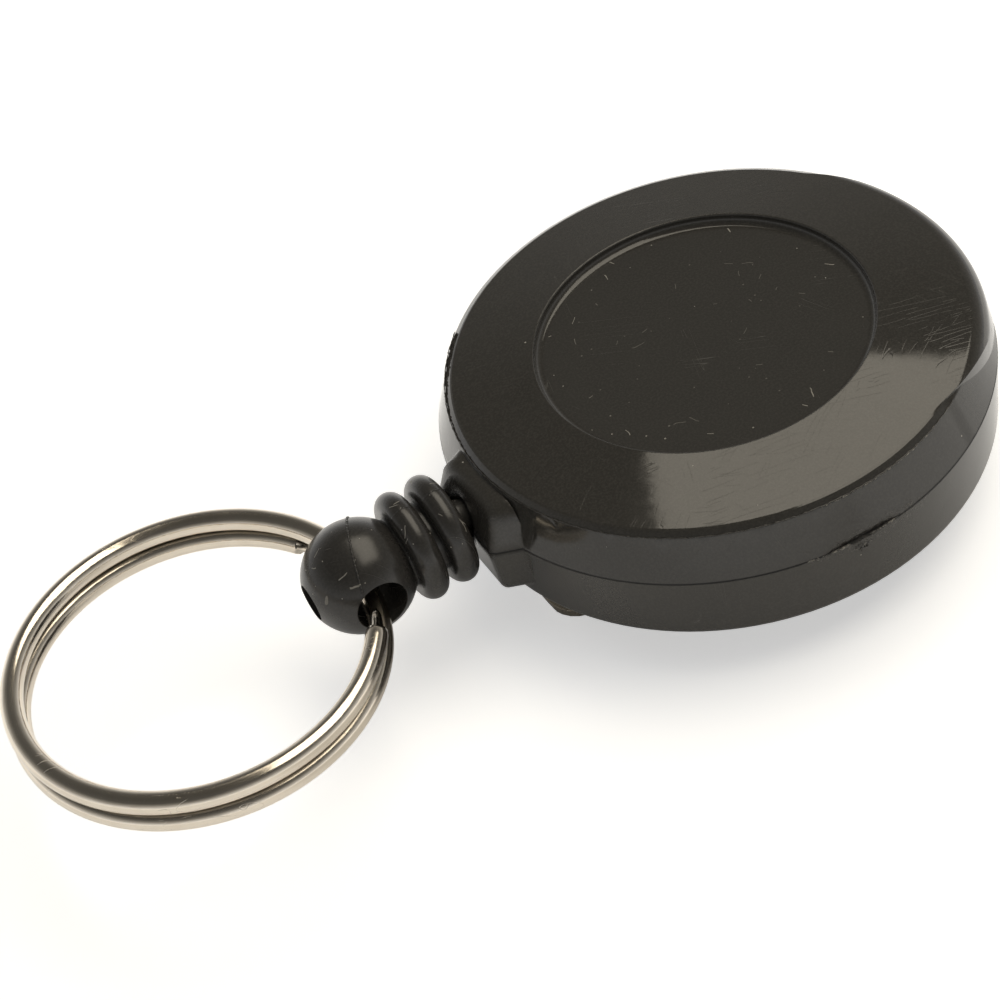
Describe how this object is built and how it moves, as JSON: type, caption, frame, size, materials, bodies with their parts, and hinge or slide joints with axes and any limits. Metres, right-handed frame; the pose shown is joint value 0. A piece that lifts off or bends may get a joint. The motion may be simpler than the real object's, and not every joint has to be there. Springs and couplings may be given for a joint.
{
  "type": "retractable badge reel",
  "caption": "Round retractable reel with a label recess, a sprung cord spool, a ribbed end fitting, a split key ring and a belt clip.",
  "frame": {"origin": "centre of the label seat in the front cover, on the spool's axis", "axes": "+Z out of the front along the spool's axis, +X along the cord as it leaves the lug, +Y across"},
  "size_m": [0.0715, 0.038, 0.0139],
  "materials": {
    "case": "moulded black, semi-gloss, finely scuffed",
    "fitting": "moulded black, semi-gloss",
    "spool": "moulded, natural",
    "spring": "blued spring steel",
    "cord": "braided black",
    "ring": "nickel plated",
    "clip": "nickel plated spring steel",
    "rivet": "plated"
  },
  "bodies": {
    "case": {"front_cover": "case", "rear_cover": "case", "clip_base": "clip", "clip_rivet": "rivet", "rivet_washer": "rivet", "power_spring": "spring", "cord_lead": "cord"},
    "spool": {"spool": "spool", "spring_cover": "spool", "cord_winding": "cord", "cord_anchor_bead": "cord"},
    "cord_end": {"cord_end_knot": "cord"},
    "end_fitting": {"end_fitting": "fitting"},
    "split_ring": {"split_ring": "ring"},
    "clip_tongue": {"clip_tongue": "clip"}
  },
  "joints": [
    {"name": "cord_pull", "type": "slide", "parent": "case", "child": "cord_end", "axis": [1, 0, 0], "range_m": [0, 0.6], "stiffness_N_per_m": 0.6, "springref_m": -1, "deforming": ["cord_lead"]},
    {"name": "spool_spin", "type": "hinge", "parent": "case", "child": "spool", "pos_m": [0, 0, -0.0035], "axis": [0, 0, 1], "range_deg": [-2700, 0], "deforming": ["power_spring"]},
    {"name": "fitting_spin", "type": "hinge", "parent": "cord_end", "child": "end_fitting", "pos_m": [0.0278, 0, -0.0035], "axis": [1, 0, 0], "continuous": true},
    {"name": "ring_swing", "type": "hinge", "parent": "end_fitting", "child": "split_ring", "pos_m": [0.0278, 0, -0.0035], "axis": [0, 1, 0], "range_deg": [-120, 120]},
    {"name": "clip_flex", "type": "hinge", "parent": "case", "child": "clip_tongue", "pos_m": [-0.0163, 0, -0.01085], "axis": [0, 1, 0], "range_deg": [0, 8], "stiffness_Nm_per_rad": 1.7, "deforming": ["clip_tongue"]}
  ],
  "couplings": [
    {"joint": "spool_spin", "follows": "cord_pull", "rad_per_m": -78.4}
  ]
}
